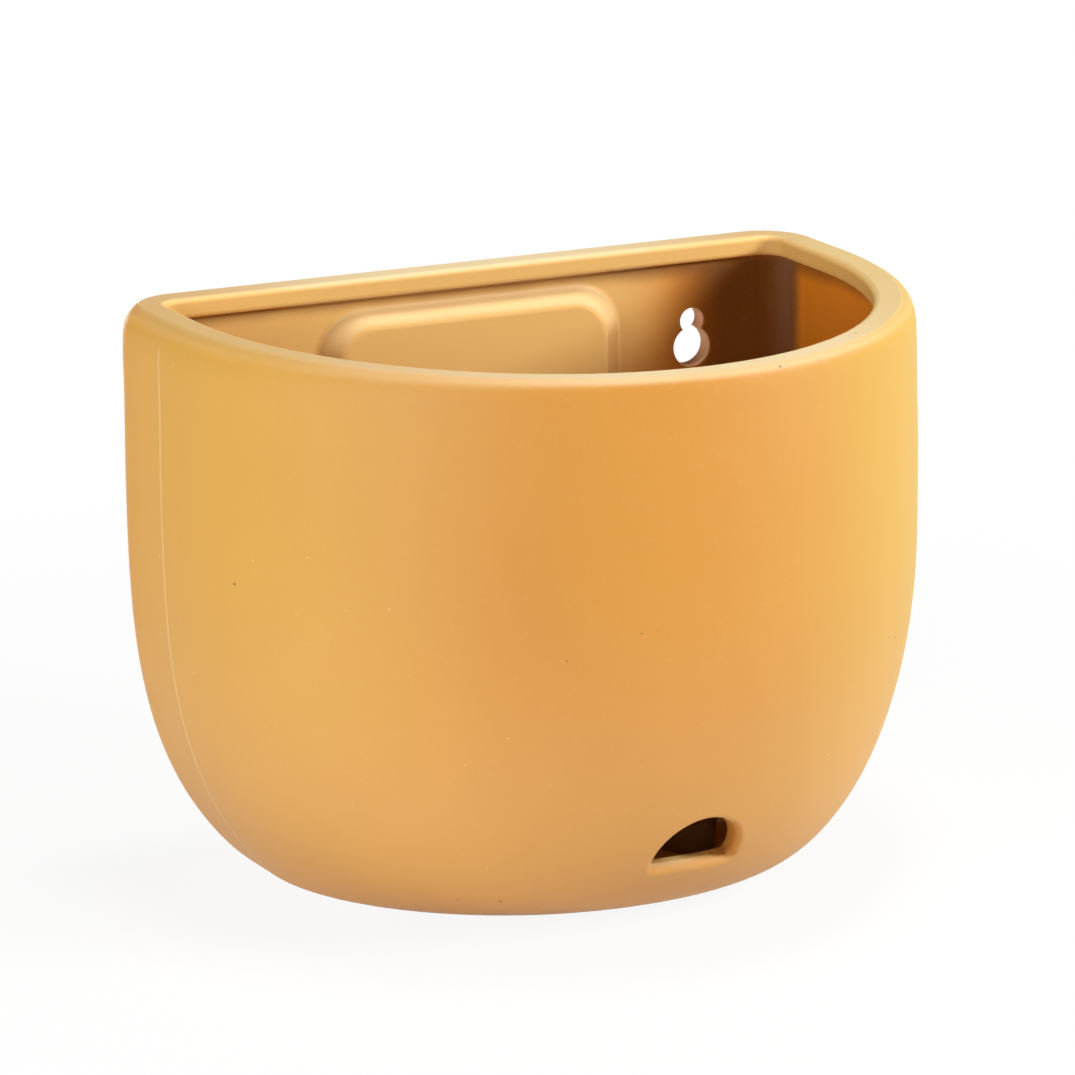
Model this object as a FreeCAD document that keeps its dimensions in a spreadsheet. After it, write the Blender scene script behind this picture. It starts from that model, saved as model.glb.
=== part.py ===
import FreeCAD, Part
import Sketcher
import os
from FreeCAD import Vector

# Wall planter: a slip-cast pot with a flat back, and a moulded drainage platform that stands inside it.
# Millimetres. The origin lies midway between the two keyhole seats, on the flat back face.
# +X runs across the wall, +Y points into the wall, +Z points up, and the front of the pot faces -Y.

doc = FreeCAD.newDocument("wall_planter")

# ------------------------------------------------------------------ driving dimensions
sizes = doc.addObject("Spreadsheet::Sheet", "Sizes")

DRIVING = [
    # outer form of the pot, heights counted from the underside of the foot
    ("pot_height", 162.2),
    ("half_width", 110.0),
    ("front_depth", 161.2),
    ("foot_half_width", 76.5),
    ("foot_depth", 94.2),
    ("width_belly", 155.0),
    ("width_power", 4.62),
    ("width_root", 1.05),
    ("depth_belly", 86.0),
    ("depth_power", 1.5),
    ("depth_root", 2.49),
    ("width_draw_in", 3.5),
    ("depth_draw_in", 6.15),
    ("side_length", 35.5),
    ("back_corner", 15.5),
    ("front_fullness", 0.537),
    ("foot_fullness", 0.571),
    ("fullness_height", 60.0),
    # wall, floor, rim and lip
    ("wall", 5.5),
    ("floor_thickness", 6.5),
    ("inner_foot_half_width", 75.4),
    ("inner_foot_depth", 105.0),
    ("inner_width_power", 4.72),
    ("inner_width_root", 1.046),
    ("inner_depth_power", 1.572),
    ("inner_depth_root", 1.932),
    ("inner_corner", 10.0),
    ("rim_width", 9.0),
    ("rim_width_back", 8.4),
    ("lip_height", 6.0),
    ("mouth_corner", 6.0),
    ("rim_outer_round", 2.6),
    ("rim_back_round", 1.5),
    ("rim_break", 68.0),
    ("rim_inner_round", 1.6),
    ("lip_under_round", 1.4),
    ("ledge_round", 1.2),
    ("keyhole_round", 0.7),
    ("foot_round", 0.6),
    ("recess_round", 1.5),
    ("back_edge_round", 4.0),
    ("back_stock", 0.3),
    ("foot_stock", 0.2),
    # keyholes in the back wall
    ("keyhole_spacing", 145.0),
    ("seat_height", 138.5),
    ("seat_diameter", 7.4),
    ("entry_diameter", 11.6),
    ("entry_drop", 7.7),
    # half-moon overflow opening in the front wall
    ("opening_radius", 12.7),
    ("opening_sill", 21.5),
    ("opening_spring", 2.1),
    ("opening_offset", 2.0),
    ("opening_corner", 1.5),
    ("opening_round", 2.0),
    # recess in the back face, which shows inside as a raised panel
    ("recess_depth", 5.0),
    ("recess_half_width", 47.5),
    ("recess_top", 151.2),
    ("recess_bottom", 46.0),
    ("recess_corner", 13.0),
    ("recess_slope", 8.0),
    ("recess_top_slope", 4.5),
    ("panel_margin", 2.3),
    ("panel_round", 3.5),
    ("panel_foot_round", 2.4),
    # shallow hollow inside the foot
    ("foot_border", 9.0),
    ("foot_hollow", 1.5),
    # drainage platform
    ("plate_top", 44.5),
    ("plate_thickness", 2.5),
    ("plate_half_width", 90.0),
    ("plate_front", 139.5),
    ("plate_side", 45.0),
    ("plate_back", 15.0),
    ("plate_corner", 14.0),
    ("plate_edge_height", 6.0),
    ("plate_edge_width", 2.2),
    ("leg_top_radius", 11.0),
    ("leg_foot_radius", 8.0),
    ("leg_wall", 1.8),
    ("leg_back_x", 42.0),
    ("leg_back_y", 32.0),
    ("leg_front_x", 30.0),
    ("leg_front_y", 82.0),
    ("drain_slot_width", 3.0),
    ("drain_slot_length", 15.0),
    ("drain_pitch", 12.0),
    ("drain_back_y", 32.0),
    ("drain_back_count", 5),
    ("drain_middle_y", 57.0),
    ("drain_middle_count", 13),
    ("drain_between_y", 82.0),
    ("drain_between_count", 3),
    ("drain_front_y", 106.0),
    ("drain_front_count", 9),
    ("drain_tip_y", 126.0),
    ("drain_tip_count", 3),
]

for row, (name, value) in enumerate(DRIVING, start=1):
    sizes.set(f"A{row}", name)
    sizes.set(f"B{row}", str(value))
    sizes.setAlias(f"B{row}", name)
doc.recompute()


def size(name):
    """The number that the sheet holds under a name."""
    return float(sizes.get(name))


# ------------------------------------------------------------------ shared sketch helpers
def plane(body, role):
    """One of the body's own origin planes."""
    for feature in body.Origin.OriginFeatures:
        if feature.Role == role:
            return feature
    raise RuntimeError(role)


def new_sketch(body, name, role, offset):
    """A sketch lying on an origin plane of the body, moved along the plane's normal by an expression."""
    sketch = body.newObject("Sketcher::SketchObject", name)
    sketch.AttachmentSupport = [(plane(body, role), "")]
    sketch.MapMode = "FlatFace"
    sketch.setExpression("AttachmentOffset.Base.z", offset)
    return sketch


def bind(sketch, kind, places, value, expression):
    """A size constraint whose value is bound to an expression over the sheet."""
    index = sketch.addConstraint(Sketcher.Constraint(kind, *places, value))
    sketch.setExpression(f"Constraints[{index}]", expression)


def d_outline(sketch, half, depth, side, back, corner, fullness="Sizes.front_fullness"):
    """The D-shaped plan: flat back, round back corners, short straight sides and one full front curve.

    Every size is an expression over the sheet; the geometry starts out at its present value."""
    texts = (half, depth, side, back, corner, fullness)
    a, d, s, b, r, k = [float(sketch.evalExpression(text)) for text in texts]
    swell = d - s
    sketch.addGeometry(Part.LineSegment(Vector(r - a, -b, 0), Vector(a - r, -b, 0)), False)
    right = Part.Circle(Vector(a - r, -b - r, 0), Vector(0, 0, 1), r)
    sketch.addGeometry(Part.ArcOfCircle(right, 0.0, 1.5707963), False)
    sketch.addGeometry(Part.LineSegment(Vector(a, -b - r, 0), Vector(a, -s, 0)), False)
    poles = [Vector(a, -s, 0), Vector(a, -s - k * swell, 0), Vector(k * a, -d, 0)]
    poles += [Vector(-p.x, p.y, 0) for p in reversed(poles)]
    curve = Part.BSplineCurve()
    curve.buildFromPolesMultsKnots(poles, [4, 2, 4], [0.0, 0.5, 1.0], False, 3)
    sketch.addGeometry(curve, False)
    sketch.addGeometry(Part.LineSegment(Vector(-a, -s, 0), Vector(-a, -b - r, 0)), False)
    left = Part.Circle(Vector(r - a, -b - r, 0), Vector(0, 0, 1), r)
    sketch.addGeometry(Part.ArcOfCircle(left, 1.5707963, 3.1415927), False)
    sketch.exposeInternalGeometry(3)

    sketch.addConstraint(Sketcher.Constraint("Tangent", 0, 2, 1, 2))
    sketch.addConstraint(Sketcher.Constraint("Tangent", 1, 1, 2, 1))
    sketch.addConstraint(Sketcher.Constraint("Coincident", 2, 2, 3, 1))
    sketch.addConstraint(Sketcher.Constraint("Coincident", 3, 2, 4, 1))
    sketch.addConstraint(Sketcher.Constraint("Tangent", 4, 2, 5, 2))
    sketch.addConstraint(Sketcher.Constraint("Tangent", 5, 1, 0, 1))
    sketch.addConstraint(Sketcher.Constraint("Symmetric", 2, 2, 4, 1, -2))
    sketch.addConstraint(Sketcher.Constraint("Symmetric", 0, 1, 0, 2, -2))
    sketch.addConstraint(Sketcher.Constraint("Vertical", 2))
    bind(sketch, "DistanceX", (-1, 1, 2, 2), a, half)
    bind(sketch, "DistanceY", (2, 2, -1, 1), s, side)
    if b > 0:
        bind(sketch, "DistanceY", (0, 2, -1, 1), b, back)
    else:
        bind(sketch, "DistanceY", (-1, 1, 0, 2), -b, f"-({back})")
    bind(sketch, "Radius", (1,), r, corner)
    # the four inner poles of the front curve give it its fullness
    first = pole_index(sketch)
    fuller = f"({side}) + ({fullness}) * (({depth}) - ({side}))"
    bind(sketch, "DistanceX", (-1, 1, first + 1, 3), a, half)
    bind(sketch, "DistanceY", (first + 1, 3, -1, 1), s + k * swell, fuller)
    bind(sketch, "DistanceX", (-1, 1, first + 2, 3), k * a, f"({fullness}) * ({half})")
    bind(sketch, "DistanceY", (first + 2, 3, -1, 1), d, depth)
    sketch.addConstraint(Sketcher.Constraint("Symmetric", first + 2, 3, first + 3, 3, -2))
    sketch.addConstraint(Sketcher.Constraint("Symmetric", first + 1, 3, first + 4, 3, -2))


def pole_index(sketch):
    """Index of the first pole circle that stands for the front curve's control points."""
    for index, geometry in enumerate(sketch.Geometry):
        if isinstance(geometry, Part.Circle):
            return index
    raise RuntimeError("no pole circles")


# ------------------------------------------------------------------ the pot's swelling form
OUTER = dict(base="-Sizes.foot_stock", curve="",
             half_foot="Sizes.foot_half_width", half_full="Sizes.half_width",
             deep_foot="Sizes.foot_depth", deep_full="Sizes.front_depth")
INNER = dict(base="Sizes.floor_thickness", curve="inner_",
             half_foot="Sizes.inner_foot_half_width", half_full="(Sizes.half_width - Sizes.wall)",
             deep_foot="Sizes.inner_foot_depth", deep_full="(Sizes.front_depth - Sizes.wall)")


def swell_at(height, base, foot, full, belly, power, root, draw_in):
    """Expression for a half width or depth at one height above the foot.

    Below the belly the size grows from foot to full along a rounded curve; above it the wall draws in."""
    belly_now = size(belly)
    if float(sizes.evalExpression(height)) <= belly_now:
        drop = f"((Sizes.{belly} - ({height})) / (Sizes.{belly} - {base}))"
        return f"{foot} + ({full} - {foot}) * (1 - {drop} ^ Sizes.{power}) ^ (1 / Sizes.{root})"
    rise = f"((({height}) - Sizes.{belly}) / (Sizes.pot_height - Sizes.{belly}))"
    return f"{full} - Sizes.{draw_in} * {rise} ^ 2"


def level(body, name, form, height, back, corner, inset="0"):
    """One horizontal D-shaped section of the pot or of its cavity, drawn in all round by the inset."""
    curve = form["curve"]
    half = swell_at(height, form["base"], form["half_foot"], form["half_full"],
                    "width_belly", f"{curve}width_power", f"{curve}width_root", "width_draw_in")
    depth = swell_at(height, form["base"], form["deep_foot"], form["deep_full"],
                     "depth_belly", f"{curve}depth_power", f"{curve}depth_root", "depth_draw_in")
    fullness = "Sizes.front_fullness"
    if float(sizes.evalExpression(height)) < size("fullness_height"):
        below = f"(1 - ({height}) / Sizes.fullness_height) ^ 2"
        fullness = f"Sizes.front_fullness + (Sizes.foot_fullness - Sizes.front_fullness) * {below}"
    sketch = new_sketch(body, name, "XY_Plane", f"({height}) - Sizes.seat_height")
    d_outline(sketch, f"({half}) - {inset}", f"({depth}) - {inset}", "Sizes.side_length",
              f"({back}) + {inset}", f"({corner}) - {inset}", fullness)
    return sketch


def loft(body, kind, name, sections):
    """A smooth skin through a stack of sections."""
    feature = body.newObject(f"PartDesign::{kind}", name)
    feature.Profile = sections[0]
    feature.Sections = sections[1:]
    feature.Ruled = False
    doc.recompute()
    return feature


def edges_where(feature, test):
    """Names of the feature's edges that pass a test on the edge."""
    return [f"Edge{number}" for number, edge in enumerate(feature.Shape.Edges, start=1) if test(edge)]


def between(edge, low, high):
    """True for an edge that lies wholly inside the box from low to high."""
    box = edge.BoundBox
    starts = (box.XMin - low[0], box.YMin - low[1], box.ZMin - low[2])
    ends = (high[0] - box.XMax, high[1] - box.YMax, high[2] - box.ZMax)
    return min(starts + ends) > -0.05


def round_edges(body, name, test, radius):
    """A fillet on the chosen edges of the body's newest feature."""
    base = body.Tip
    chosen = edges_where(base, test)
    fillet = body.newObject("PartDesign::Fillet", name)
    fillet.Base = (base, chosen)
    fillet.Radius = size(radius)
    fillet.setExpression("Radius", f"Sizes.{radius}")
    doc.recompute()
    return fillet


def cut(body, kind, name, sketch, length, reverse=False):
    """A pad or pocket of one sketch with its length bound to an expression."""
    feature = body.newObject(f"PartDesign::{kind}", name)
    feature.Profile = sketch
    feature.Type = 0
    feature.Length = float(sizes.evalExpression(length))
    feature.setExpression("Length", length)
    feature.Reversed = reverse
    doc.recompute()
    return feature


def rounded_rectangle(sketch, half, low, high, corner):
    """An upright rectangle with round corners, even about the vertical axis.

    high is measured up from the keyhole seats and low is measured down from them."""
    a, l, h, r = [float(sketch.evalExpression(text)) for text in (half, low, high, corner)]
    across = Vector(0, 0, 1)
    corners = [(a - r, h - r, 0.0), (r - a, h - r, 90.0), (r - a, r - l, 180.0), (a - r, r - l, 270.0)]
    for x, y, start in corners:
        circle = Part.Circle(Vector(x, y, 0), across, r)
        first = FreeCAD.Units.Quantity(start, "deg").getValueAs("rad").Value
        sketch.addGeometry(Part.ArcOfCircle(circle, first, first + 1.5707963), False)
    ends = [((a - r, h), (r - a, h)), ((-a, h - r), (-a, r - l)),
            ((r - a, -l), (a - r, -l)), ((a, r - l), (a, h - r))]
    for begin, finish in ends:
        sketch.addGeometry(Part.LineSegment(Vector(*begin, 0), Vector(*finish, 0)), False)
    for arc in range(4):
        sketch.addConstraint(Sketcher.Constraint("Tangent", arc, 2, arc + 4, 1))
        sketch.addConstraint(Sketcher.Constraint("Tangent", arc + 4, 2, (arc + 1) % 4, 1))
    for arc in range(1, 4):
        sketch.addConstraint(Sketcher.Constraint("Equal", 0, arc))
    sketch.addConstraint(Sketcher.Constraint("Vertical", 7))
    sketch.addConstraint(Sketcher.Constraint("Symmetric", 4, 1, 4, 2, -2))
    bind(sketch, "Radius", (0,), r, corner)
    bind(sketch, "DistanceX", (-1, 1, 7, 1), a, half)
    bind(sketch, "DistanceY", (-1, 1, 4, 1), h, high)
    bind(sketch, "DistanceY", (6, 1, -1, 1), l, low)


def circle_at(sketch, x, y, radius, right=1, up=1):
    """A circle placed by expressions; right and up give the side of the axes that it lies on."""
    place_x, place_y, r = [float(sketch.evalExpression(text)) for text in (x, y, radius)]
    centre = Vector(right * place_x, up * place_y, 0)
    index = sketch.addGeometry(Part.Circle(centre, Vector(0, 0, 1), r), False)
    bind(sketch, "Radius", (index,), r, radius)
    if place_x == 0:
        sketch.addConstraint(Sketcher.Constraint("PointOnObject", index, 3, -2))
    else:
        ends = (-1, 1, index, 3) if right > 0 else (index, 3, -1, 1)
        bind(sketch, "DistanceX", ends, place_x, x)
    if place_y == 0:
        sketch.addConstraint(Sketcher.Constraint("PointOnObject", index, 3, -1))
    else:
        ends = (-1, 1, index, 3) if up > 0 else (index, 3, -1, 1)
        bind(sketch, "DistanceY", ends, place_y, y)


# ------------------------------------------------------------------ planter shell: outer form
pot = doc.addObject("PartDesign::Body", "planter_shell")

# Sections crowd together near the foot, where the wall turns under fastest, and round the rim.
# The skin stands a little proud of the back and of the underside, and both are then ground flat.
OUTER_LEVELS = (0.0, 0.004, 0.012, 0.03, 0.06, 0.11, 0.18, 0.28, 0.4, 0.53, 0.66, 0.78, 0.88, 0.95)
RIM_STEPS = (0.0, 0.25, 0.5, 0.75, 1.0)
outer_sections = []
for number, share in enumerate(OUTER_LEVELS):
    height = f"Sizes.pot_height * {share}" if share else "-Sizes.foot_stock"
    back = "-Sizes.back_stock"
    if size("pot_height") * share < size("back_edge_round"):
        lean = f"(1 - (({height}) + Sizes.foot_stock) / Sizes.back_edge_round)"
        back = f"Sizes.back_edge_round * (1 - sqrt(1 - {lean} ^ 2)) - Sizes.back_stock"
    outer_sections.append(level(pot, f"outer_level_{number}", OUTER, height, back, "Sizes.back_corner"))
# The rim rolls over its outer edge and stops short of level, so a fine line runs round its flat top.
for number, share in enumerate(RIM_STEPS):
    angle = f"({share} * Sizes.rim_break * 1 deg)"
    height = f"Sizes.pot_height - Sizes.rim_outer_round * (sin(Sizes.rim_break * 1 deg) - sin{angle})"
    inset = f"Sizes.rim_outer_round * (1 - cos{angle})"
    back = f"-Sizes.back_stock - {inset} * (1 - Sizes.rim_back_round / Sizes.rim_outer_round)"
    outer_sections.append(level(pot, f"rim_level_{number}", OUTER, height, back, "Sizes.back_corner", inset))
doc.recompute()
outer_form = loft(pot, "AdditiveLoft", "outer_form", outer_sections)

back_trim = new_sketch(pot, "back_trim_outline", "XZ_Plane", "0")
rounded_rectangle(back_trim, "Sizes.half_width + 10", "Sizes.seat_height + 10",
                  "Sizes.pot_height - Sizes.seat_height + 10", "5")
cut(pot, "Pocket", "back_trim", back_trim, "10")

foot_trim = new_sketch(pot, "foot_trim_outline", "XY_Plane", "-Sizes.seat_height")
d_outline(foot_trim, "Sizes.half_width + 10", "Sizes.front_depth + 10", "Sizes.side_length", "-10", "5")
cut(pot, "Pocket", "foot_trim", foot_trim, "10")

# ------------------------------------------------------------------ planter shell: cavity, lip and mouth
INNER_LEVELS = (0.0, 0.01, 0.03, 0.06, 0.1, 0.16, 0.25, 0.38, 0.53, 0.68, 0.82, 0.93, 1.0)
span = "(Sizes.pot_height - Sizes.lip_height - Sizes.floor_thickness)"
inner_sections = []
for number, share in enumerate(INNER_LEVELS):
    height = f"Sizes.floor_thickness + {span} * {share}"
    inner_sections.append(level(pot, f"inner_level_{number}", INNER, height, "Sizes.wall", "Sizes.inner_corner"))
doc.recompute()
cavity = loft(pot, "SubtractiveLoft", "cavity", inner_sections)

mouth_outline = new_sketch(pot, "mouth_outline", "XY_Plane", "Sizes.pot_height - Sizes.seat_height")
d_outline(mouth_outline, "Sizes.half_width - Sizes.width_draw_in - Sizes.rim_width",
          "Sizes.front_depth - Sizes.depth_draw_in - Sizes.rim_width",
          "Sizes.side_length", "Sizes.rim_width_back", "Sizes.mouth_corner")
cut(pot, "Pocket", "mouth", mouth_outline, "Sizes.lip_height + 0.5")

top_z = size("pot_height") - size("seat_height")
lip_z = top_z - size("lip_height")
mouth_half = size("half_width") - size("width_draw_in") - size("rim_width")
mouth_front = size("rim_width") + size("depth_draw_in") - size("front_depth")
mouth_back = -size("rim_width_back")


def round_mouth(edge, z):
    """True for the edges of the mouth at one height."""
    return between(edge, (-mouth_half, mouth_front, z), (mouth_half, mouth_back, z))


def round_ledge(edge):
    """True for the inner edges where the cavity wall meets the underside of the lip."""
    box = edge.BoundBox
    return abs(box.ZMin - lip_z) < 0.05 and abs(box.ZMax - lip_z) < 0.05 and not round_mouth(edge, lip_z)


round_edges(pot, "ledge_rounding", round_ledge, "ledge_round")
round_edges(pot, "lip_under_rounding", lambda e: round_mouth(e, lip_z), "lip_under_round")
round_edges(pot, "rim_inner_rounding", lambda e: round_mouth(e, top_z), "rim_inner_round")

# ------------------------------------------------------------------ planter shell: recess and raised panel
# The casting keeps its wall thickness, so the recess in the back stands out inside as a soft-edged panel.


def recess_outline(name, depth, margin, sloped):
    """The recess's rounded rectangle at one depth; the margin widens it, and its sloped end is smaller."""
    sketch = new_sketch(pot, name, "XZ_Plane", depth)
    side = f"{margin} - Sizes.recess_slope" if sloped else margin
    top = f"{margin} - Sizes.recess_top_slope" if sloped else margin
    rounded_rectangle(sketch, f"Sizes.recess_half_width + ({side})",
                      f"Sizes.seat_height - Sizes.recess_bottom + ({side})",
                      f"Sizes.recess_top - Sizes.seat_height + ({top})", f"Sizes.recess_corner + ({top})")
    return sketch


panel_foot = recess_outline("panel_foot", "Sizes.wall - 1", "Sizes.panel_margin", False)
panel_face = recess_outline("panel_face", "Sizes.wall + Sizes.recess_depth", "Sizes.panel_margin", True)
doc.recompute()
loft(pot, "AdditiveLoft", "raised_panel", [panel_foot, panel_face])

panel_y = -size("wall") - size("recess_depth")
panel_half = size("recess_half_width") + size("panel_margin")
low_z = size("recess_bottom") - size("seat_height") - size("panel_margin")
high_z = size("recess_top") - size("seat_height") + size("panel_margin")


def on_panel(edge, y):
    """True for the panel's edges at one depth."""
    return between(edge, (-panel_half, y, low_z), (panel_half, y, high_z))


round_edges(pot, "panel_face_rounding", lambda e: on_panel(e, panel_y), "panel_round")
round_edges(pot, "panel_foot_rounding", lambda e: on_panel(e, -size("wall")), "panel_foot_round")

recess_mouth = recess_outline("recess_mouth", "0", "0", False)
recess_floor = recess_outline("recess_floor", "Sizes.recess_depth", "0", True)
doc.recompute()
loft(pot, "SubtractiveLoft", "back_recess", [recess_mouth, recess_floor])
round_edges(pot, "recess_floor_rounding", lambda e: on_panel(e, -size("recess_depth")), "panel_round")
round_edges(pot, "recess_mouth_rounding", lambda e: on_panel(e, 0.0), "recess_round")

# ------------------------------------------------------------------ planter shell: keyholes
entries = new_sketch(pot, "keyhole_entries", "XZ_Plane", "0")
for side in (1, -1):
    circle_at(entries, "Sizes.keyhole_spacing / 2", "Sizes.entry_drop", "Sizes.entry_diameter / 2", side, -1)
cut(pot, "Pocket", "keyhole_entry", entries, "Sizes.wall + 1", True)

seats = new_sketch(pot, "keyhole_seats", "XZ_Plane", "0")
for side in (1, -1):
    circle_at(seats, "Sizes.keyhole_spacing / 2", "0", "Sizes.seat_diameter / 2", side, 1)
cut(pot, "Pocket", "keyhole_seat", seats, "Sizes.wall + 1", True)


def on_keyhole(edge):
    """True for the inner edges of the two keyholes."""
    middle = edge.CenterOfMass
    reach = size("entry_diameter") / 2 + 1
    beside = abs(abs(middle.x) - size("keyhole_spacing") / 2) < reach
    level_with = -size("entry_drop") - reach < middle.z < size("seat_diameter") / 2 + 1
    return beside and level_with and abs(edge.BoundBox.YMin + size("wall")) < 0.05 \
        and abs(edge.BoundBox.YMax + size("wall")) < 0.05


round_edges(pot, "keyhole_rounding", on_keyhole, "keyhole_round")

# ------------------------------------------------------------------ planter shell: half-moon opening
half_moon = new_sketch(pot, "half_moon", "XZ_Plane", "Sizes.front_depth + 10")
radius = size("opening_radius")
sill_z = size("opening_sill") - size("seat_height")
spring = size("opening_spring")
beside = size("opening_offset")
chord = (radius ** 2 - spring ** 2) ** 0.5
dip = float(sizes.evalExpression("asin(Sizes.opening_spring / Sizes.opening_radius) / 1 rad"))
sill_ends = Vector(beside - chord, sill_z, 0), Vector(beside + chord, sill_z, 0)
half_moon.addGeometry(Part.LineSegment(*sill_ends), False)
arch = Part.Circle(Vector(beside, sill_z + spring, 0), Vector(0, 0, 1), radius)
half_moon.addGeometry(Part.ArcOfCircle(arch, -dip, 3.1415927 + dip), False)
half_moon.addConstraint(Sketcher.Constraint("Coincident", 0, 2, 1, 1))
half_moon.addConstraint(Sketcher.Constraint("Coincident", 0, 1, 1, 2))
half_moon.addConstraint(Sketcher.Constraint("Horizontal", 0))
bind(half_moon, "Radius", (1,), radius, "Sizes.opening_radius")
bind(half_moon, "DistanceX", (-1, 1, 1, 3), beside, "Sizes.opening_offset")
bind(half_moon, "DistanceY", (0, 1, -1, 1), -sill_z, "Sizes.seat_height - Sizes.opening_sill")
bind(half_moon, "DistanceY", (0, 1, 1, 3), spring, "Sizes.opening_spring")
cut(pot, "Pocket", "overflow_opening", half_moon, "10 + Sizes.front_depth / 3")


def at_tip(edge):
    """True for the two short edges at the tips of the half-moon, which run through the wall."""
    box = edge.BoundBox
    level_with = abs(box.ZMin - sill_z) < 0.05 and abs(box.ZMax - sill_z) < 0.05
    return level_with and abs(abs(edge.CenterOfMass.x - beside) - chord) < 0.05


round_edges(pot, "opening_tips", at_tip, "opening_corner")
outer_skin = min(pot.Tip.Shape.Faces, key=lambda face: face.BoundBox.YMin)


def on_outer_skin(edge):
    """True for the edges of the half-moon that lie on the pot's outer skin."""
    middle = edge.CenterOfMass
    near = abs(middle.x - beside) < radius + 2 and sill_z - 3 < middle.z < sill_z + radius + spring + 3
    return near and any(edge.isSame(other) for other in outer_skin.Edges)


round_edges(pot, "opening_rounding", on_outer_skin, "opening_round")

# ------------------------------------------------------------------ planter shell: hollow inside the foot
foot_hollow = new_sketch(pot, "foot_hollow_outline", "XY_Plane", "-Sizes.seat_height")
d_outline(foot_hollow, "Sizes.foot_half_width - Sizes.foot_border",
          "Sizes.foot_depth - Sizes.foot_border", "Sizes.side_length",
          "Sizes.back_edge_round + Sizes.foot_border", "Sizes.inner_corner")
cut(pot, "Pocket", "foot_hollow", foot_hollow, "Sizes.foot_hollow", True)
round_edges(pot, "foot_rounding", lambda e: abs(e.BoundBox.ZMin + size("seat_height")) < 0.01
            and between(e, (-size("foot_half_width") + size("foot_border") - 0.1, -size("foot_depth"), -200),
                        (size("foot_half_width") - size("foot_border") + 0.1, -size("foot_border"), 0)),
            "foot_round")

# ------------------------------------------------------------------ drainage platform
# One plastic moulding: a slotted plate with an upturned edge on four tapered legs, each cored out from
# below. It keeps the compost above the water that gathers behind the sill of the half-moon opening.
platform = doc.addObject("PartDesign::Body", "drainage_platform")


def platform_outline(name, height, shrink):
    """The platform's D-shaped plan at one height, drawn in all round."""
    sketch = new_sketch(platform, name, "XY_Plane", f"({height}) - Sizes.seat_height")
    d_outline(sketch, f"Sizes.plate_half_width - {shrink}", f"Sizes.plate_front - {shrink}",
              "Sizes.plate_side", f"Sizes.plate_back + {shrink}", f"Sizes.plate_corner - {shrink}")
    return sketch


def four_circles(name, height, circle_radius):
    """Circles on the four leg axes."""
    sketch = new_sketch(platform, name, "XY_Plane", f"({height}) - Sizes.seat_height")
    for side in (1, -1):
        circle_at(sketch, "Sizes.leg_back_x", "Sizes.leg_back_y", circle_radius, side, -1)
        circle_at(sketch, "Sizes.leg_front_x", "Sizes.leg_front_y", circle_radius, side, -1)
    return sketch


under_plate = "Sizes.plate_top - Sizes.plate_thickness"
leg_height = f"({under_plate} - Sizes.floor_thickness)"

plate_outline = platform_outline("plate_outline", under_plate, "0")
cut(platform, "Pad", "plate_blank", plate_outline, "Sizes.plate_edge_height")
dish_outline = platform_outline("dish_outline", f"{under_plate} + Sizes.plate_edge_height",
                                "Sizes.plate_edge_width")
cut(platform, "Pocket", "plate_dish", dish_outline, "Sizes.plate_edge_height - Sizes.plate_thickness")

leg_tops = four_circles("leg_tops", under_plate, "Sizes.leg_top_radius")
legs = cut(platform, "Pad", "legs", leg_tops, leg_height, True)
legs.setExpression("TaperAngle", f"-atan((Sizes.leg_top_radius - Sizes.leg_foot_radius) / {leg_height})")

leg_bores = four_circles("leg_bores", "Sizes.floor_thickness", "Sizes.leg_foot_radius - Sizes.leg_wall")
bores = cut(platform, "Pocket", "leg_cores", leg_bores, leg_height, True)
bores.setExpression("TaperAngle", f"atan((Sizes.leg_top_radius - Sizes.leg_foot_radius) / {leg_height})")
doc.recompute()


def slot_row(row):
    """One row of drain slots through the plate: a slot at the row's left end, repeated to the right."""
    sketch = new_sketch(platform, f"{row}_slot", "XY_Plane", "Sizes.plate_top - Sizes.seat_height")
    start = f"Sizes.drain_pitch * (Sizes.drain_{row}_count - 1) / 2"
    reach = "(Sizes.drain_slot_length - Sizes.drain_slot_width) / 2"
    x = -float(sizes.evalExpression(start))
    half = float(sizes.evalExpression(reach))
    y = -size(f"drain_{row}_y")
    r = size("drain_slot_width") / 2
    across = Vector(0, 0, 1)
    front = Part.Circle(Vector(x, y - half, 0), across, r)
    rear = Part.Circle(Vector(x, y + half, 0), across, r)
    sketch.addGeometry(Part.ArcOfCircle(front, 3.1415927, 6.2831853), False)
    sketch.addGeometry(Part.LineSegment(Vector(x + r, y - half, 0), Vector(x + r, y + half, 0)), False)
    sketch.addGeometry(Part.ArcOfCircle(rear, 0.0, 3.1415927), False)
    sketch.addGeometry(Part.LineSegment(Vector(x - r, y + half, 0), Vector(x - r, y - half, 0)), False)
    for number in range(4):
        sketch.addConstraint(Sketcher.Constraint("Tangent", number, 2, (number + 1) % 4, 1))
    sketch.addConstraint(Sketcher.Constraint("Equal", 0, 2))
    sketch.addConstraint(Sketcher.Constraint("Vertical", 1))
    bind(sketch, "Radius", (0,), r, "Sizes.drain_slot_width / 2")
    bind(sketch, "DistanceX", (0, 3, -1, 1), -x, start)
    bind(sketch, "DistanceY", (2, 3, -1, 1), -y - half, f"Sizes.drain_{row}_y - {reach}")
    bind(sketch, "DistanceY", (0, 3, -1, 1), half - y, f"Sizes.drain_{row}_y + {reach}")
    first = cut(platform, "Pocket", f"{row}_first_slot", sketch, "Sizes.plate_thickness + 0.5")
    pattern = platform.newObject("PartDesign::LinearPattern", f"{row}_slots")
    pattern.Originals = [first]
    pattern.Direction = (sketch, ["H_Axis"])
    pattern.setExpression("Length", f"Sizes.drain_pitch * (Sizes.drain_{row}_count - 1)")
    pattern.setExpression("Occurrences", f"Sizes.drain_{row}_count")
    platform.Tip = pattern
    doc.recompute()


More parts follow.
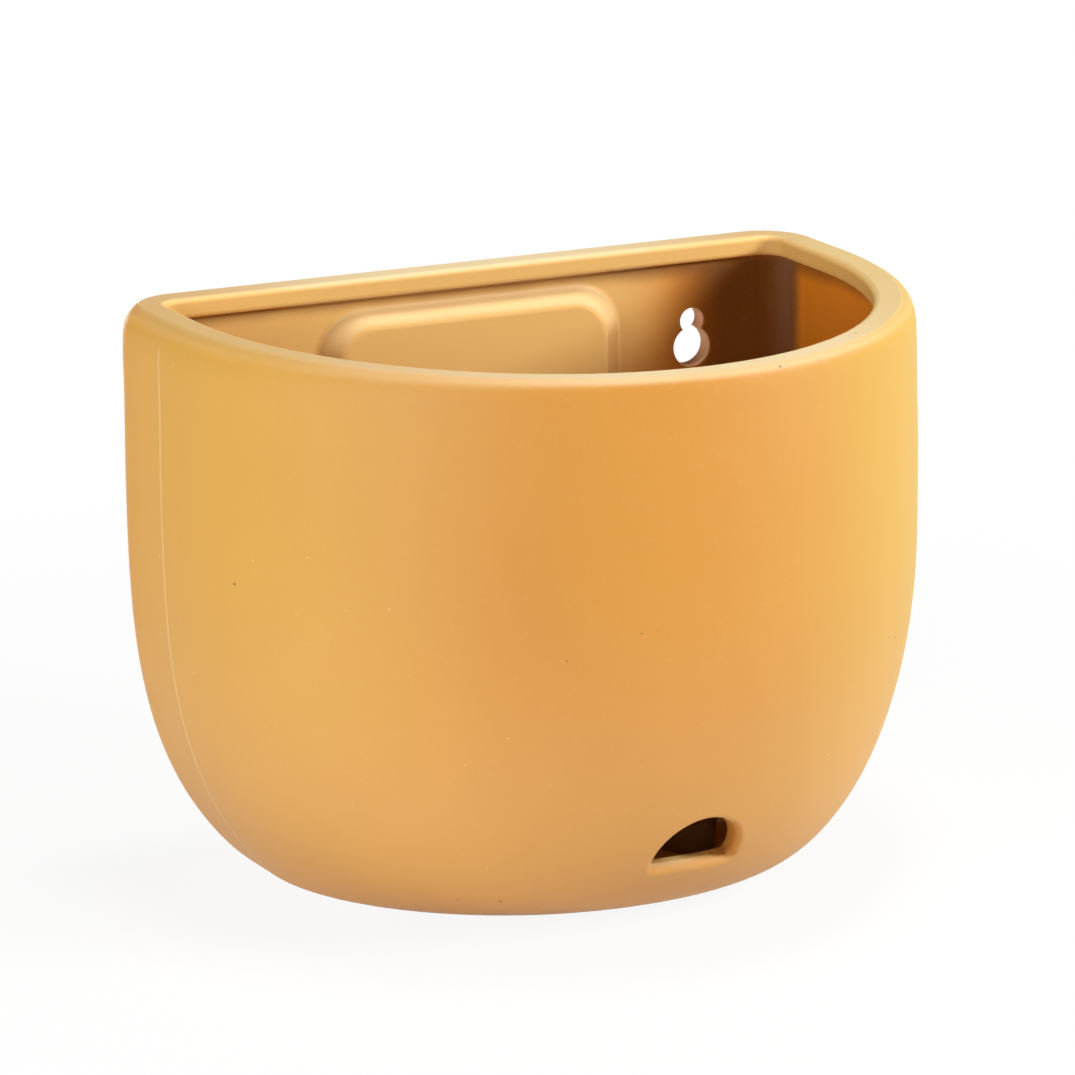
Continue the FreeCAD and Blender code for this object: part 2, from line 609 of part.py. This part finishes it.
for row in ("back", "middle", "between", "front", "tip"):
    slot_row(row)

# ------------------------------------------------------------------ write the pieces
doc.recompute()
os.makedirs("parts", exist_ok=True)
for body in (pot, platform):
    for feature in body.Group:
        faulty = {"Invalid", "Error", "Touched"} & set(feature.State)
        if faulty:
            raise RuntimeError(f"{feature.Name}: {feature.State}")
    solid = body.Shape
    if solid.isNull() or not solid.isValid() or len(solid.Solids) != 1:
        raise RuntimeError(f"{body.Label} is not one sound solid")
    solid.exportStep(f"parts/{body.Label}.step")
    print(body.Label, round(solid.Volume / 1000, 1), "cm3", len(solid.Faces), "faces")
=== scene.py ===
import math

import bpy
from mathutils import Matrix, Vector

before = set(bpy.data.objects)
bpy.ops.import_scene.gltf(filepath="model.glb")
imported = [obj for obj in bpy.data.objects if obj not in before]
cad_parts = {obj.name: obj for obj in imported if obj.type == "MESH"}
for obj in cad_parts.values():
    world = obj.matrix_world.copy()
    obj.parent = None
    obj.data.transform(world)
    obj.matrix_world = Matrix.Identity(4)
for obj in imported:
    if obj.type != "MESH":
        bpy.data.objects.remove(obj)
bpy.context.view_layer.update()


# --- Planter shell ---------------------------------------------------------------------------------
# One hollow slip casting in stoneware: flat back, full round front, rolled rim, two keyholes in the
# back wall and a half-moon opening low in the front. It is sprayed with an ochre glaze that fires to
# a satin with fine grain, runs thinner and paler over every edge, and darker where it pools. Part of
# its colour is painted light and shade: gold on the lit sides, grey low down, the paler inside, amber
# and dark brown at the cavity's right, a shadow under the lip, shade in the half-moon's right side and
# highlights on the rim and the panel's edges.

# Glaze colours: linear red, green and blue, and alpha
GLAZE_BODY = (0.668, 0.294, 0.044, 1)
GLAZE_WARM = (0.652, 0.278, 0.042, 1)
# Gold: partly the glaze and partly painted light on the pot's lit sides
GLAZE_GOLD_AND_LIT_SIDE = (0.672, 0.430, 0.080, 1)
# Grey: partly the glaze and partly painted light bounced up from the table
GLAZE_GREY_AND_BOUNCE = (0.650, 0.342, 0.108, 1)
# Painted shade for the half-moon's right side and crease
JAMB_SHADE = (0.460, 0.180, 0.025, 1)
# Pale: glaze where it runs thin, and painted highlights on the rim and the panel's edges
GLAZE_THIN_AND_HIGHLIGHT = (0.900, 0.700, 0.400, 1)
# Inside: paler than the outside, partly painted light
GLAZE_INNER = (0.960, 0.600, 0.190, 1)
# Amber: partly the glaze and partly painted bounce light on the cavity's right wall
GLAZE_AMBER_AND_BOUNCE = (0.920, 0.300, 0.012, 1)
# Dark brown: pooled glaze and painted shade in the cavity's right corner, painted shadow under the lip
POOLED_GLAZE_AND_SHADE = (0.180, 0.060, 0.008, 1)
SPECK_BROWN = (0.060, 0.026, 0.010, 1)
BARE_CLAY = (0.860, 0.520, 0.300, 1)

# Places on the pot in metres. A depth is how far in front of the wall, a level how high above the
# keyholes' seats, and across how far from the middle. The two that end in CLEAR lie in front of the
# raised panel's face (10.5 mm) and of the back wall's inner face (5.5 mm), and leave out what is past.
AXIS_DEPTH = 0.060
SEAM_DEPTH = 0.0365
PANEL_CLEAR = 0.0115
WALL_CLEAR = 0.009
KEYHOLE_ACROSS, KEYHOLE_LEVEL = 0.0725, -0.004
ARCH_ACROSS, ARCH_LEVEL, CREASE_LEVEL = 0.002, -0.1149, -0.1168


class Value:
    """A socket that can be used in Python arithmetic: each operator adds one Math node."""

    def __init__(self, tree, socket):
        self.tree = tree
        self.socket = socket

    def maths(self, operation, *others):
        return node(self.tree, "ShaderNodeMath", {"operation": operation}, self, *others)

    def vector(self, operation, *others, output=0):
        settings = {"operation": operation}
        return node(self.tree, "ShaderNodeVectorMath", settings, self, *others, output=output)

    def __add__(self, other):
        return self.maths("ADD", other)

    def __radd__(self, other):
        return self.maths("ADD", other)

    def __sub__(self, other):
        return self.maths("SUBTRACT", other)

    def __rsub__(self, other):
        return node(self.tree, "ShaderNodeMath", {"operation": "SUBTRACT"}, other, self)

    def __mul__(self, other):
        return self.maths("MULTIPLY", other)

    def __rmul__(self, other):
        return self.maths("MULTIPLY", other)

    def __pow__(self, other):
        return self.maths("POWER", other)

    def __neg__(self):
        return self.maths("MULTIPLY", -1.0)

    def __abs__(self):
        return self.maths("ABSOLUTE")

    def step(self, low, high):
        """0 below low, 1 above high, with a smooth S between them."""
        settings = {"interpolation_type": "SMOOTHSTEP"}
        return node(self.tree, "ShaderNodeMapRange", settings, self, low, high)


def join(tree, given, socket):
    """Links a Value to the socket, or writes a plain number, vector or colour into it."""
    if isinstance(given, Value):
        tree.links.new(given.socket, socket)
    else:
        socket.default_value = given


def node(tree, kind, settings=None, *inputs, output=0, **named):
    """Adds a node: its settings first, then its sockets by place or by name; returns one output."""
    made = tree.nodes.new(kind)
    for key, setting in (settings or {}).items():
        setattr(made, key, setting)
    for place, given in [*enumerate(inputs), *named.items()]:
        join(tree, given, made.inputs[place])
    return Value(tree, made.outputs[output])


def mix(tree, share, first, second):
    """A colour that goes from first to second as share goes from 0 to 1. The node repeats its socket
    names for each kind of data, so the ones for colour go by number."""
    made = tree.nodes.new("ShaderNodeMix")
    made.data_type = "RGBA"
    for place, given in ((0, share), (6, first), (7, second)):
        join(tree, given, made.inputs[place])
    return Value(tree, made.outputs[2])


def lay_coats(tree, colour, *coats):
    """Lays coats over a colour in turn, each given as its mask, its strength there and its colour."""
    for mask, strength, coat in coats:
        colour = mix(tree, mask * strength, colour, coat)
    return colour


def new_material(name):
    """A material with a Principled shader on its output and no other node, its tree and the shader."""
    material = bpy.data.materials.new(name)
    material.use_nodes = True
    material.node_tree.nodes.clear()
    shader = material.node_tree.nodes.new("ShaderNodeBsdfPrincipled")
    output = material.node_tree.nodes.new("ShaderNodeOutputMaterial")
    material.node_tree.links.new(shader.outputs[0], output.inputs[0])
    return material, material.node_tree, shader


def ochre_glaze():
    """Satin glaze laid in coats over a body colour. Each coat has a mask from 0 to 1, made of smooth
    steps in a point's place, in the way its surface faces and in noise."""
    material, tree, shader = new_material("ochre_satin_glaze")
    place = node(tree, "ShaderNodeTexCoord", output="Object")
    facing = node(tree, "ShaderNodeTexCoord", output="Normal")
    x, y, z = (node(tree, "ShaderNodeSeparateXYZ", None, place, output=axis) for axis in "XYZ")
    toward_wall = node(tree, "ShaderNodeSeparateXYZ", None, facing, output="Y")
    upward = node(tree, "ShaderNodeSeparateXYZ", None, facing, output="Z")
    across = abs(x)

    cloud = node(tree, "ShaderNodeTexNoise", None, Vector=place, Scale=14.0, Detail=3.0)
    grain = node(tree, "ShaderNodeTexNoise", None, Vector=place, Scale=1400.0, Detail=2.0)
    mottle = node(tree, "ShaderNodeTexNoise", None, Vector=place, Scale=320.0, Detail=4.0)
    lumps = node(tree, "ShaderNodeTexNoise", None, Vector=place, Scale=30.0, Detail=1.0)
    large_cells = node(tree, "ShaderNodeTexVoronoi", None, Vector=place, Scale=60.0)
    small_cells = node(tree, "ShaderNodeTexVoronoi", None, Vector=place, Scale=85.0)
    drift = cloud - 0.5

    # A face inside looks back at the pot's upright axis, or is the cavity's floor and looks up
    from_axis = place.vector("MULTIPLY", (1.0, 1.0, 0.0)).vector("ADD", (0.0, AXIS_DEPTH, 0.0))
    looks_out = from_axis.vector("NORMALIZE").vector("DOT_PRODUCT", facing, output="Value")
    cavity_floor = upward * (1.0 - z.step(0.000, 0.015))
    inside = (cavity_floor - looks_out).step(0.05, 0.45)

    # Outside: gold on the right and less on the left, fading near the wall, partly painted light on
    # the sides the lamps light most; and greyer low down, partly painted light bounced up from the
    # table
    gold = x.step(-0.010, 0.105) + (-x).step(0.040, 0.115) * 0.45
    gold = gold * (1.0 - y.step(-0.030, -0.002) * 0.7)
    # Greyer low down: partly painted light bounced up from the table
    low = 1.0 - z.step(-0.125, -0.020)
    from_seam = abs(y + SEAM_DEPTH + drift * 0.0016)
    seam = (1.0 - from_seam.step(0.0002, 0.0008)) * (1.0 - inside) * (1.0 - z.step(0.015, 0.020))

    # Rim: its flat top and the roll beside it, palest in the middle and less so at the sides; thin
    # glaze and partly a painted highlight
    rim_top = upward.step(0.86, 0.985) * z.step(0.0205, 0.0232)
    shoulder = upward.step(0.25, 0.70) * z.step(0.0170, 0.0215)
    to_side = across.step(0.030, 0.105)
    pale = shoulder * (0.50 - to_side * 0.30) + rim_top * (0.50 - to_side * 0.22)
    pale = pale + drift * shoulder * 0.4

    # Half-moon: pale on its sill, and painted shade along the sill's line to the right and up its
    # right side
    from_arch = ((x - ARCH_ACROSS) ** 2.0 + (z - ARCH_LEVEL) ** 2.0) ** 0.5
    arch_edge = (1.0 - from_arch.step(0.0130, 0.0150)) * z.step(-0.1200, -0.1182)
    arch_edge = arch_edge * (-y).step(0.120, 0.132)
    sill = arch_edge * upward.step(0.45, 0.80) * (1.0 - x.step(-0.004, 0.010) * 0.7)
    crease_shade = (1.0 - abs(z - CREASE_LEVEL).step(0.0002, 0.0009)) * arch_edge
    jamb_shade = arch_edge * x.step(0.0085, 0.0120) * (1.0 - looks_out.step(0.55, 0.85))
    arch_shade = jamb_shade + crease_shade * x.step(0.002, 0.012)

    # Keyholes: bare clay on the whole cut edge, through the thickness of the back wall
    from_keyhole = ((across - KEYHOLE_ACROSS) ** 2.0 + (z - KEYHOLE_LEVEL) ** 2.0) ** 0.5
    sideways = 1.0 - abs(toward_wall).step(0.35, 0.80)
    keyhole_edge = (1.0 - from_keyhole.step(0.0110, 0.0125)) * sideways
    keyhole_edge = keyhole_edge * (y + WALL_CLEAR).step(0.0005, 0.0020)

    # Cavity: amber to the right, partly painted bounce light, then dark brown in the right corner,
    # partly pooled glaze and partly painted shade; a painted shadow under the lip; a painted highlight
    # along the panel's edges
    below_lip = 1.0 - z.step(0.0150, 0.0185)
    on_back = (-toward_wall).step(0.10, 0.55)
    # A painted shadow under the lip, with a wavy lower edge
    shadow_edge = z + drift * 0.008
    shadow_under_lip = shadow_edge.step(0.0120, 0.0172) * (1.0 - z.step(0.0174, 0.0182))
    # A painted highlight along the raised panel's sloping edges
    slanting = 1.0 - abs(toward_wall).step(0.84, 0.98)
    panel_edge_highlight = slanting * (y + PANEL_CLEAR).step(0.0, 0.0004) * (1.0 - across.step(0.054, 0.060))
    # The inside's base colour is paler than the outside's, partly painted light
    inner = lay_coats(
        tree, GLAZE_INNER,
        (x.step(0.045, 0.080) * below_lip, 1.0, GLAZE_AMBER_AND_BOUNCE),
        # Dark right corner: partly pooled glaze, partly painted shade
        (x.step(0.056, 0.084) * on_back * below_lip, 1.0, POOLED_GLAZE_AND_SHADE),
        # Painted shadow under the lip
        (shadow_under_lip, 0.75, POOLED_GLAZE_AND_SHADE),
        # Painted highlight on the panel's edges
        (panel_edge_highlight, 0.45, GLAZE_THIN_AND_HIGHLIGHT),
    )

    mottled = (mottle - 0.5) * 0.17 + (grain - 0.5) * 0.18
    colour = lay_coats(
        tree, GLAZE_BODY,
        (cloud.step(0.35, 0.65), 1.0, GLAZE_WARM),
        (gold, 1.0, GLAZE_GOLD_AND_LIT_SIDE),
        (low, 0.7, GLAZE_GREY_AND_BOUNCE),
        (inside, 0.9, inner),
        # Pale rim: thin glaze and partly a painted highlight
        (pale, 1.0, GLAZE_THIN_AND_HIGHLIGHT),
        (seam, 0.30, GLAZE_THIN_AND_HIGHLIGHT),
        (sill, 0.35, GLAZE_THIN_AND_HIGHLIGHT),
        # Painted shade in the half-moon
        (arch_shade, 0.95, JAMB_SHADE),
        (keyhole_edge, 0.9, BARE_CLAY),
        (mottled.step(0.0, 0.5), 1.0, GLAZE_THIN_AND_HIGHLIGHT),
        (1.0 - small_cells.step(0.020, 0.034), 0.35, GLAZE_THIN_AND_HIGHLIGHT),
        (1.0 - large_cells.step(0.020, 0.030), 0.8, SPECK_BROWN),
    )
    join(tree, colour, shader.inputs["Base Color"])

    rough = 0.55 + (mottle - 0.5) * 0.10 + keyhole_edge * 0.3
    join(tree, rough, shader.inputs["Roughness"])

    height = lumps * 0.5 + mottle * 0.02 + grain * 0.008 + seam * 0.12
    bump = node(tree, "ShaderNodeBump", None, Strength=0.30, Distance=0.0010, Height=height)
    join(tree, bump, shader.inputs["Normal"])
    shader.inputs["Specular IOR Level"].default_value = 0.4
    return material


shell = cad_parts["planter_shell"]
glaze = ochre_glaze()
for held in shell.material_slots:
    held.material = glaze


# --- Drainage platform -----------------------------------------------------------------------------
# A loose false floor, injection moulded in brown polypropylene: slotted plate with a rim and four
# hollow legs. It is dropped in through the mouth and holds the compost above the water space.

PLASTIC_BROWN = (0.240, 0.135, 0.068, 1)
PLASTIC_BLOOM = (0.290, 0.165, 0.086, 1)


def brown_moulding():
    """Brown moulded plastic: patches of paler bloom that are a little rougher, and a fine texture."""
    material, tree, shader = new_material("brown_polypropylene")
    place = node(tree, "ShaderNodeTexCoord", output="Object")
    grain = node(tree, "ShaderNodeTexNoise", None, Vector=place, Scale=2600.0, Detail=2.0)
    bloom = node(tree, "ShaderNodeTexNoise", None, Vector=place, Scale=60.0, Detail=3.0)
    colour = mix(tree, bloom.step(0.4, 0.7), PLASTIC_BROWN, PLASTIC_BLOOM)
    join(tree, colour, shader.inputs["Base Color"])
    join(tree, 0.48 + (bloom - 0.5) * 0.2, shader.inputs["Roughness"])
    bump = node(tree, "ShaderNodeBump", None, Strength=0.4, Distance=0.0002, Height=grain)
    join(tree, bump, shader.inputs["Normal"])
    return material


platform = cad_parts["drainage_platform"]
plastic = brown_moulding()
for held in platform.material_slots:
    held.material = plastic


# --- Floor, light and camera -----------------------------------------------------------------------
# A plain pale table a tenth of a millimetre under the foot, a nearly dark room that the camera sees
# as white, and six soft boxes: the key on the right in front, a strip and a box on the left, a weak
# strip in front on the left, a low strip behind and a small box overhead.

TABLE_SIZE, TABLE_LEVEL = 40.0, -0.1386
TABLE_GREY = (0.86, 0.86, 0.86, 1)
WHITE = (1, 1, 1, 1)
ROOM_STRENGTH = 0.01


def pale_table():
    """Pale paint that takes the pot's shadow. What the camera and reflections see of it is nine
    tenths plain white near the pot, and all of it from 0.45 m away."""
    material = bpy.data.materials.new("pale_table")
    material.use_nodes = True
    tree = material.node_tree
    tree.nodes.clear()
    paint = node(tree, "ShaderNodeBsdfDiffuse", None, Color=TABLE_GREY)
    plain_white = node(tree, "ShaderNodeEmission", None, Color=WHITE, Strength=1.0)
    camera_ray = node(tree, "ShaderNodeLightPath", output="Is Camera Ray")
    glossy_ray = node(tree, "ShaderNodeLightPath", output="Is Glossy Ray")
    place = node(tree, "ShaderNodeTexCoord", output="Object")
    from_pot = place.vector("LENGTH", output="Value")
    share = camera_ray.maths("MAXIMUM", glossy_ray) * (0.90 + from_pot.step(0.15, 0.45) * 0.10)
    surface = node(tree, "ShaderNodeMixShader", None, share, paint, plain_white)
    join(tree, surface, tree.nodes.new("ShaderNodeOutputMaterial").inputs[0])
    return material


bpy.ops.mesh.primitive_plane_add(size=TABLE_SIZE, location=(0.0, 0.0, TABLE_LEVEL))
table_top = bpy.context.object
table_top.name = "table_top"
table_top.data.materials.append(pale_table())


def studio_world():
    """A room that gives hardly any light, and is plain white to the camera and through glass."""
    world = bpy.data.worlds.new("studio")
    world.use_nodes = True
    tree = world.node_tree
    tree.nodes.clear()
    room = node(tree, "ShaderNodeBackground", None, Color=WHITE, Strength=ROOM_STRENGTH)
    plain_white = node(tree, "ShaderNodeBackground", None, Color=WHITE, Strength=1.0)
    camera_ray = node(tree, "ShaderNodeLightPath", output="Is Camera Ray")
    glass_ray = node(tree, "ShaderNodeLightPath", output="Is Transmission Ray")
    seen = camera_ray.maths("MAXIMUM", glass_ray)
    surface = node(tree, "ShaderNodeMixShader", None, seen, room, plain_white)
    join(tree, surface, tree.nodes.new("ShaderNodeOutputWorld").inputs[0])
    return world


bpy.context.scene.world = studio_world()


def soft_lamp(name, place, aim, width, height, power):
    """A rectangular soft box at place, turned towards aim, in metres and watts."""
    data = bpy.data.lights.new(name, "AREA")
    data.shape = "RECTANGLE"
    data.size = width
    data.size_y = height
    data.energy = power
    lamp = bpy.data.objects.new(name, data)
    bpy.context.scene.collection.objects.link(lamp)
    lamp.location = place
    lamp.rotation_euler = (Vector(aim) - Vector(place)).to_track_quat("-Z", "Y").to_euler()


soft_lamp("key_box", (1.07, -0.90, 0.60), (0, -0.05, 0.0), 0.5, 0.5, 19.6)
soft_lamp("left_strip", (-1.5, -0.35, -0.02), (0, -0.08, -0.03), 1.0, 0.25, 7.4)
soft_lamp("left_box", (-1.27, -0.73, 0.31), (0, -0.05, -0.02), 0.6, 0.4, 8.2)
soft_lamp("front_strip", (-0.80, -1.38, -0.03), (0, -0.08, -0.03), 1.0, 0.2, 1.0)
soft_lamp("back_strip", (0.35, 1.5, -0.06), (0, 0.0, -0.06), 1.2, 0.14, 13)
soft_lamp("top_box", (0.1, -0.1, 1.3), (0, -0.08, 0.0), 0.35, 0.35, 11.0)

# The camera looks from TURN to the left of straight in front and from RISE above it. The focal
# length is in pixels of the picture. The fitted view's axis meets the picture OFF_RIGHT and OFF_DOWN
# pixels from its middle, so the camera, which has no shift, is turned by that much.
CAMERA_PLACE = Vector((-0.77928, -1.57166, 0.40253))
TURN, RISE = math.radians(27.296), math.radians(15.205)
FOCUS_PIXELS, OFF_RIGHT, OFF_DOWN = 6283.70, 21.43, 55.11
PICTURE_PIXELS = 1075
SENSOR_WIDTH = 36.0

back = Vector((-math.sin(TURN) * math.cos(RISE), -math.cos(TURN) * math.cos(RISE), math.sin(RISE)))
right = Vector((math.cos(TURN), -math.sin(TURN), 0.0))
up = back.cross(right)
back = (back + (OFF_RIGHT / FOCUS_PIXELS) * right - (OFF_DOWN / FOCUS_PIXELS) * up).normalized()
right = (right - right.dot(back) * back).normalized()
up = back.cross(right)

camera_data = bpy.data.cameras.new("photograph_view")
camera_data.sensor_width = SENSOR_WIDTH
camera_data.lens = FOCUS_PIXELS / PICTURE_PIXELS * SENSOR_WIDTH
camera_data.clip_start = 0.05
camera_data.clip_end = 60.0
camera = bpy.data.objects.new("photograph_view", camera_data)
bpy.context.scene.collection.objects.link(camera)
turned = Matrix((right, up, back)).transposed().to_4x4()
camera.matrix_world = Matrix.Translation(CAMERA_PLACE) @ turned
bpy.context.scene.camera = camera
bpy.context.scene.view_settings.view_transform = "Standard"
